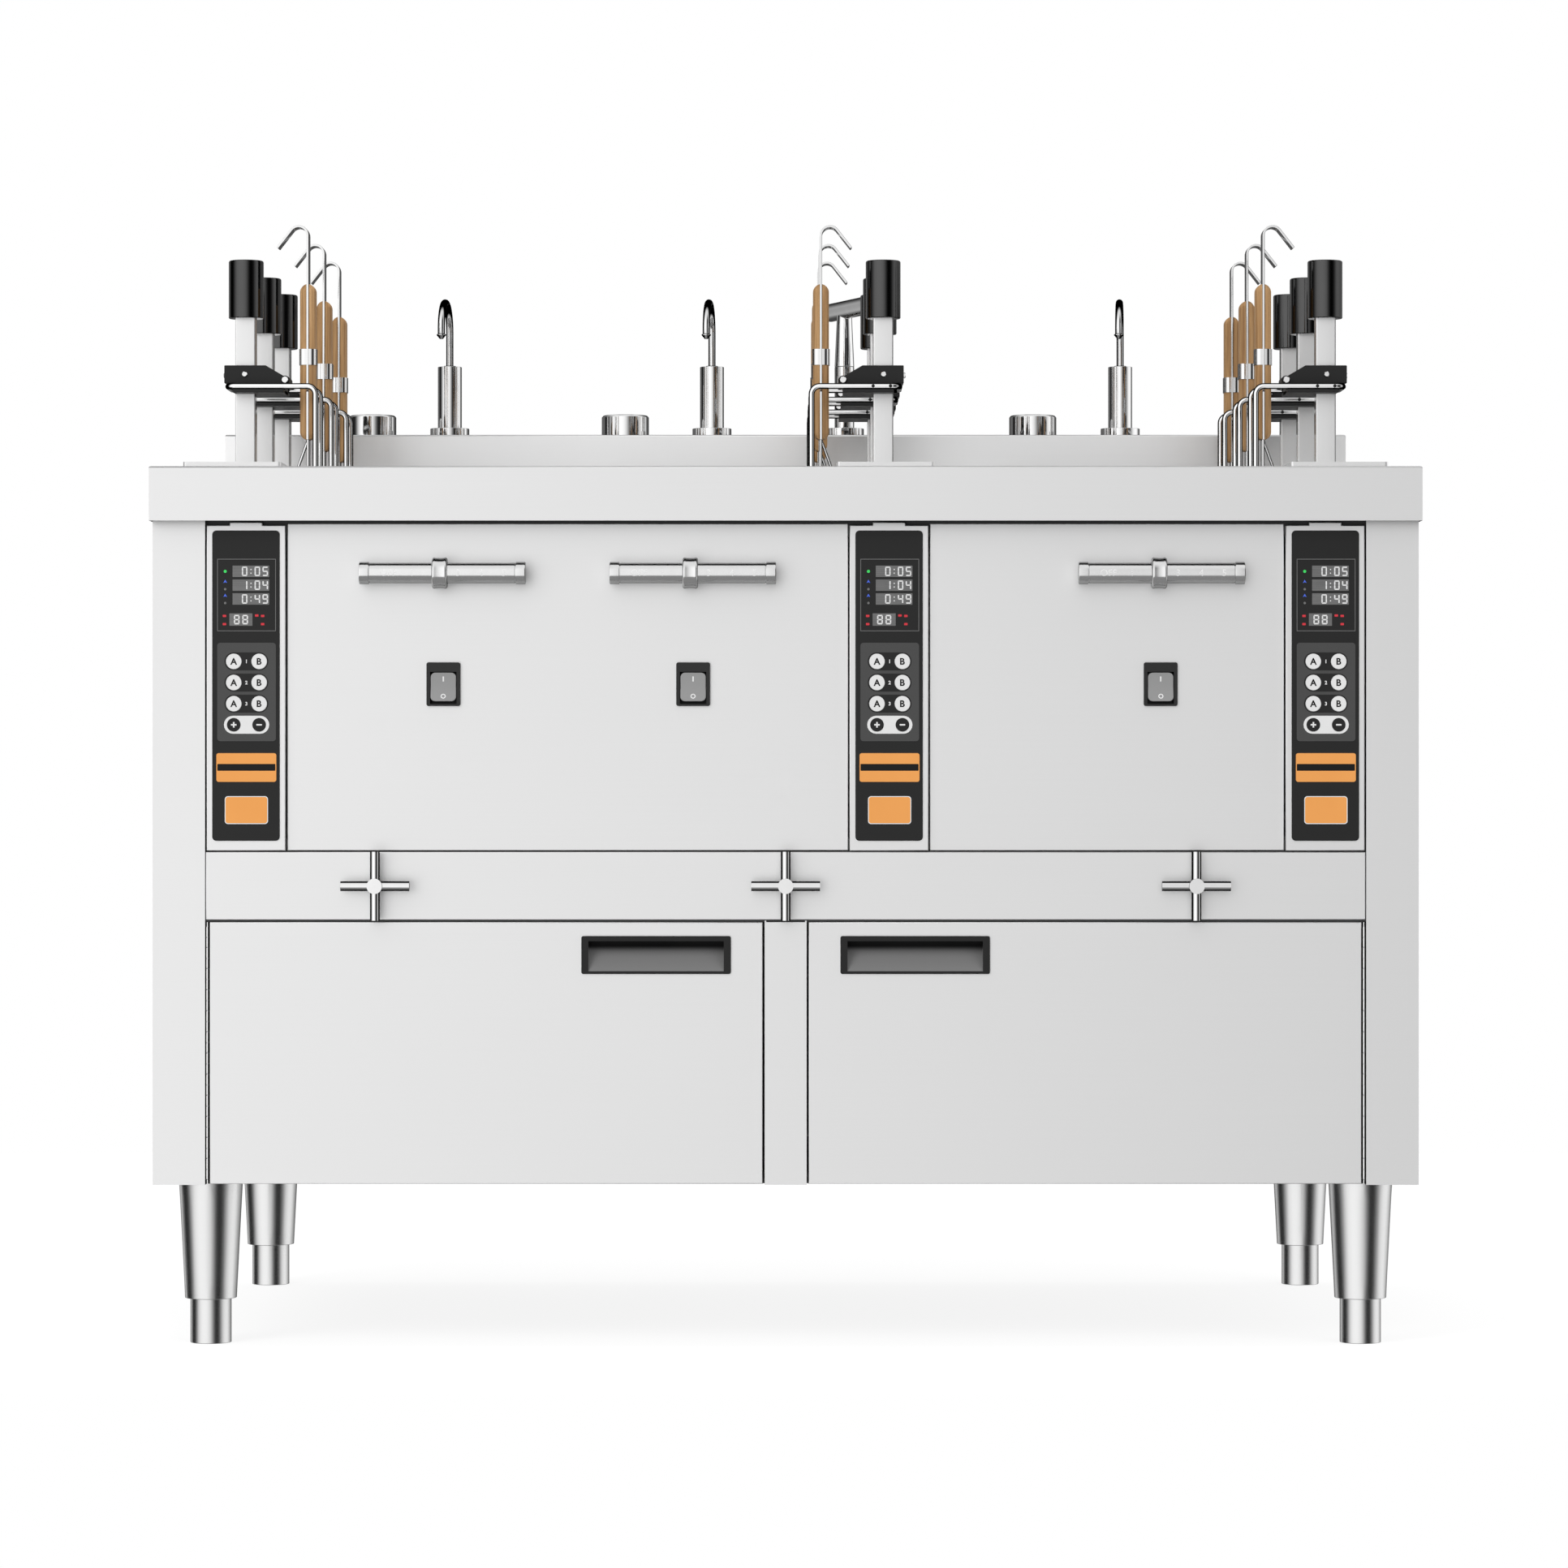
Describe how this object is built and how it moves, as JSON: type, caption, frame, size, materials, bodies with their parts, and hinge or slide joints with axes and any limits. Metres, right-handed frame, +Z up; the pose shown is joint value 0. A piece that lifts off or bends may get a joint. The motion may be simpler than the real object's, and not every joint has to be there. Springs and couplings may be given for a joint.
{
  "type": "noodle cooker",
  "caption": "Free-standing stainless noodle cooker with boiling vats in one worktop, powered basket lifts, slide-bar controls, rear taps and a cupboard below, on levelling feet.",
  "frame": {"origin": "on the floor, under the middle of the worktop", "axes": "+X to the right along the front, +Y from front to back, +Z up"},
  "size_m": [1.24, 0.7741, 1.1111],
  "materials": {
    "stainless_sheet": "satin brushed",
    "bright_steel": "polished",
    "lift_steel": "satin steel post and rods, black cap and bracket",
    "strainer_steel": "bright steel with wooden scales",
    "leg_steel": "turned",
    "keypad_film": "smooth film",
    "black_plastic": "matte",
    "switch_key": "satin",
    "drive_housing": "matte",
    "coil_tray": "matte",
    "power_box": "satin",
    "drain_brass": "cast"
  },
  "bodies": {
    "cooker": {"worktop": "stainless_sheet", "rear_ledge": "stainless_sheet", "side_panels": "stainless_sheet", "chassis": "stainless_sheet", "back_panel": "stainless_sheet", "front_panels": "stainless_sheet", "control_columns": "stainless_sheet", "keypads": "keypad_film", "valve_strip": "stainless_sheet", "vats": "stainless_sheet", "deck_plates": "stainless_sheet", "lift_drives": "drive_housing", "leg_sockets": "leg_steel", "feet": "leg_steel", "slide_bars": "bright_steel", "switch_frames": "black_plastic", "tap_bodies": "bright_steel", "door_hinges": "bright_steel", "coil_trays": "coil_tray", "power_boxes": "power_box", "drain_pipes": "drain_brass", "service_inlets": "bright_steel"},
    "door_left": {"door_left": "stainless_sheet", "pull_left": "black_plastic"},
    "door_right": {"door_right": "stainless_sheet", "pull_right": "black_plastic"},
    "filler_spout": {"filler_spout": "bright_steel"},
    "ring_left": {"ring_left": "bright_steel"},
    "switch_key_left": {"switch_key_left": "switch_key"},
    "drain_handle_left": {"drain_handle_left": "bright_steel"},
    "spout_left": {"spout_left": "bright_steel"},
    "tap_knob_left": {"tap_knob_left": "bright_steel"},
    "ring_mid": {"ring_mid": "bright_steel"},
    "switch_key_mid": {"switch_key_mid": "switch_key"},
    "drain_handle_mid": {"drain_handle_mid": "bright_steel"},
    "spout_mid": {"spout_mid": "bright_steel"},
    "tap_knob_mid": {"tap_knob_mid": "bright_steel"},
    "ring_right": {"ring_right": "bright_steel"},
    "switch_key_right": {"switch_key_right": "switch_key"},
    "drain_handle_right": {"drain_handle_right": "bright_steel"},
    "spout_right": {"spout_right": "bright_steel"},
    "tap_knob_right": {"tap_knob_right": "bright_steel"},
    "lift_left_front": {"lift_left_front": "lift_steel"},
    "strainer_left_front": {"strainer_left_front": "strainer_steel"},
    "lift_left_middle": {"lift_left_middle": "lift_steel"},
    "strainer_left_middle": {"strainer_left_middle": "strainer_steel"},
    "lift_left_rear": {"lift_left_rear": "lift_steel"},
    "strainer_left_rear": {"strainer_left_rear": "strainer_steel"},
    "lift_mid_front": {"lift_mid_front": "lift_steel"},
    "strainer_mid_front": {"strainer_mid_front": "strainer_steel"},
    "lift_mid_middle": {"lift_mid_middle": "lift_steel"},
    "strainer_mid_middle": {"strainer_mid_middle": "strainer_steel"},
    "lift_mid_rear": {"lift_mid_rear": "lift_steel"},
    "strainer_mid_rear": {"strainer_mid_rear": "strainer_steel"},
    "lift_right_front": {"lift_right_front": "lift_steel"},
    "strainer_right_front": {"strainer_right_front": "strainer_steel"},
    "lift_right_middle": {"lift_right_middle": "lift_steel"},
    "strainer_right_middle": {"strainer_right_middle": "strainer_steel"},
    "lift_right_rear": {"lift_right_rear": "lift_steel"},
    "strainer_right_rear": {"strainer_right_rear": "strainer_steel"}
  },
  "joints": [
    {"name": "door_left_swing", "type": "hinge", "parent": "cooker", "child": "door_left", "pos_m": [-0.5647, -0.35704, 0.288], "axis": [0, 0, -1], "range_deg": [0, 110]},
    {"name": "door_right_swing", "type": "hinge", "parent": "cooker", "child": "door_right", "pos_m": [0.5647, -0.35704, 0.288], "axis": [0, 0, 1], "range_deg": [0, 110]},
    {"name": "filler_swing", "type": "hinge", "parent": "cooker", "child": "filler_spout", "pos_m": [0.065, 0.321, 1.01], "axis": [0, 0, 1], "range_deg": [-80, 80]},
    {"name": "ring_left_slide", "type": "slide", "parent": "cooker", "child": "ring_left", "axis": [1, 0, 0], "range_m": [-0.05, 0.062]},
    {"name": "switch_key_left_rock", "type": "hinge", "parent": "cooker", "child": "switch_key_left", "pos_m": [-0.3344, -0.3505, 0.6444], "axis": [1, 0, 0], "range_deg": [0, 14]},
    {"name": "drain_handle_left_turn", "type": "hinge", "parent": "cooker", "child": "drain_handle_left", "pos_m": [-0.4, -0.373, 0.451], "axis": [0, 1, 0], "range_deg": [0, 90]},
    {"name": "spout_left_swing", "type": "hinge", "parent": "cooker", "child": "spout_left", "pos_m": [-0.37, 0.321, 1.01], "axis": [0, 0, 1], "range_deg": [-60, 60]},
    {"name": "tap_knob_left_turn", "type": "hinge", "parent": "cooker", "child": "tap_knob_left", "pos_m": [-0.455, 0.321, 0.932], "axis": [0, 0, 1], "range_deg": [0, 90]},
    {"name": "ring_mid_slide", "type": "slide", "parent": "cooker", "child": "ring_mid", "axis": [1, 0, 0], "range_m": [-0.05, 0.062]},
    {"name": "switch_key_mid_rock", "type": "hinge", "parent": "cooker", "child": "switch_key_mid", "pos_m": [-0.0904, -0.3505, 0.6444], "axis": [1, 0, 0], "range_deg": [0, 14]},
    {"name": "drain_handle_mid_turn", "type": "hinge", "parent": "cooker", "child": "drain_handle_mid", "pos_m": [0, -0.373, 0.451], "axis": [0, 1, 0], "range_deg": [0, 90]},
    {"name": "spout_mid_swing", "type": "hinge", "parent": "cooker", "child": "spout_mid", "pos_m": [-0.081, 0.321, 1.01], "axis": [0, 0, 1], "range_deg": [-60, 60]},
    {"name": "tap_knob_mid_turn", "type": "hinge", "parent": "cooker", "child": "tap_knob_mid", "pos_m": [-0.1765, 0.321, 0.932], "axis": [0, 0, 1], "range_deg": [0, 90]},
    {"name": "ring_right_slide", "type": "slide", "parent": "cooker", "child": "ring_right", "axis": [1, 0, 0], "range_m": [-0.05, 0.062]},
    {"name": "switch_key_right_rock", "type": "hinge", "parent": "cooker", "child": "switch_key_right", "pos_m": [0.3664, -0.3505, 0.6444], "axis": [1, 0, 0], "range_deg": [0, 14]},
    {"name": "drain_handle_right_turn", "type": "hinge", "parent": "cooker", "child": "drain_handle_right", "pos_m": [0.4, -0.373, 0.451], "axis": [0, 1, 0], "range_deg": [0, 90]},
    {"name": "spout_right_swing", "type": "hinge", "parent": "cooker", "child": "spout_right", "pos_m": [0.369, 0.321, 1.01], "axis": [0, 0, 1], "range_deg": [-60, 60]},
    {"name": "tap_knob_right_turn", "type": "hinge", "parent": "cooker", "child": "tap_knob_right", "pos_m": [0.2726, 0.321, 0.932], "axis": [0, 0, 1], "range_deg": [0, 90]},
    {"name": "lift_left_front_raise", "type": "slide", "parent": "cooker", "child": "lift_left_front", "axis": [0, 0, 1], "range_m": [0, 0.18]},
    {"name": "strainer_left_front_lift_off", "type": "slide", "parent": "lift_left_front", "child": "strainer_left_front", "axis": [0, 0, 1], "range_m": [0, 0.3]},
    {"name": "lift_left_middle_raise", "type": "slide", "parent": "cooker", "child": "lift_left_middle", "axis": [0, 0, 1], "range_m": [0, 0.18]},
    {"name": "strainer_left_middle_lift_off", "type": "slide", "parent": "lift_left_middle", "child": "strainer_left_middle", "axis": [0, 0, 1], "range_m": [0, 0.3]},
    {"name": "lift_left_rear_raise", "type": "slide", "parent": "cooker", "child": "lift_left_rear", "axis": [0, 0, 1], "range_m": [0, 0.18]},
    {"name": "strainer_left_rear_lift_off", "type": "slide", "parent": "lift_left_rear", "child": "strainer_left_rear", "axis": [0, 0, 1], "range_m": [0, 0.3]},
    {"name": "lift_mid_front_raise", "type": "slide", "parent": "cooker", "child": "lift_mid_front", "axis": [0, 0, 1], "range_m": [0, 0.18]},
    {"name": "strainer_mid_front_lift_off", "type": "slide", "parent": "lift_mid_front", "child": "strainer_mid_front", "axis": [0, 0, 1], "range_m": [0, 0.3]},
    {"name": "lift_mid_middle_raise", "type": "slide", "parent": "cooker", "child": "lift_mid_middle", "axis": [0, 0, 1], "range_m": [0, 0.18]},
    {"name": "strainer_mid_middle_lift_off", "type": "slide", "parent": "lift_mid_middle", "child": "strainer_mid_middle", "axis": [0, 0, 1], "range_m": [0, 0.3]},
    {"name": "lift_mid_rear_raise", "type": "slide", "parent": "cooker", "child": "lift_mid_rear", "axis": [0, 0, 1], "range_m": [0, 0.18]},
    {"name": "strainer_mid_rear_lift_off", "type": "slide", "parent": "lift_mid_rear", "child": "strainer_mid_rear", "axis": [0, 0, 1], "range_m": [0, 0.3]},
    {"name": "lift_right_front_raise", "type": "slide", "parent": "cooker", "child": "lift_right_front", "axis": [0, 0, 1], "range_m": [0, 0.18]},
    {"name": "strainer_right_front_lift_off", "type": "slide", "parent": "lift_right_front", "child": "strainer_right_front", "axis": [0, 0, 1], "range_m": [0, 0.3]},
    {"name": "lift_right_middle_raise", "type": "slide", "parent": "cooker", "child": "lift_right_middle", "axis": [0, 0, 1], "range_m": [0, 0.18]},
    {"name": "strainer_right_middle_lift_off", "type": "slide", "parent": "lift_right_middle", "child": "strainer_right_middle", "axis": [0, 0, 1], "range_m": [0, 0.3]},
    {"name": "lift_right_rear_raise", "type": "slide", "parent": "cooker", "child": "lift_right_rear", "axis": [0, 0, 1], "range_m": [0, 0.18]},
    {"name": "strainer_right_rear_lift_off", "type": "slide", "parent": "lift_right_rear", "child": "strainer_right_rear", "axis": [0, 0, 1], "range_m": [0, 0.3]}
  ]
}
